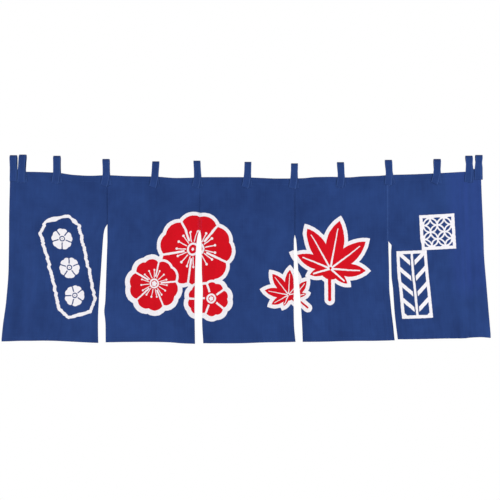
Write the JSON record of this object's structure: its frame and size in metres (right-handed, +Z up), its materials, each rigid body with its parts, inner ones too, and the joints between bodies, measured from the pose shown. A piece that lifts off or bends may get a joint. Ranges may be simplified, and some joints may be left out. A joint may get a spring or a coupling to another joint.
{
  "type": "noren curtain",
  "caption": "Split doorway curtain of dyed cloth panels sewn edge to edge at the top, with hanging slits below and tape loops along its heading for a thin pole.",
  "frame": {"origin": "on the centre line of the pole that the curtain hangs from, at the middle loop", "axes": "+X to the right as seen from the front, along the heading; +Z up; the printed front faces -Y"},
  "size_m": [1.7577, 0.0245, 0.6824],
  "materials": {
    "cloth": "matt dyed plain weave, printed on the front",
    "tape": "matt dyed tape, folded and stitched"
  },
  "bodies": {
    "root": {"panel_1": "cloth", "panel_2": "cloth", "panel_3": "cloth", "panel_4": "cloth", "panel_5": "cloth", "loop_01": "tape", "loop_02": "tape", "loop_03": "tape", "loop_04": "tape", "loop_05": "tape", "loop_06": "tape", "loop_07": "tape", "loop_08": "tape", "loop_09": "tape", "loop_10": "tape", "loop_11": "tape", "loop_12": "tape", "loop_13": "tape"}
  },
  "joints": []
}
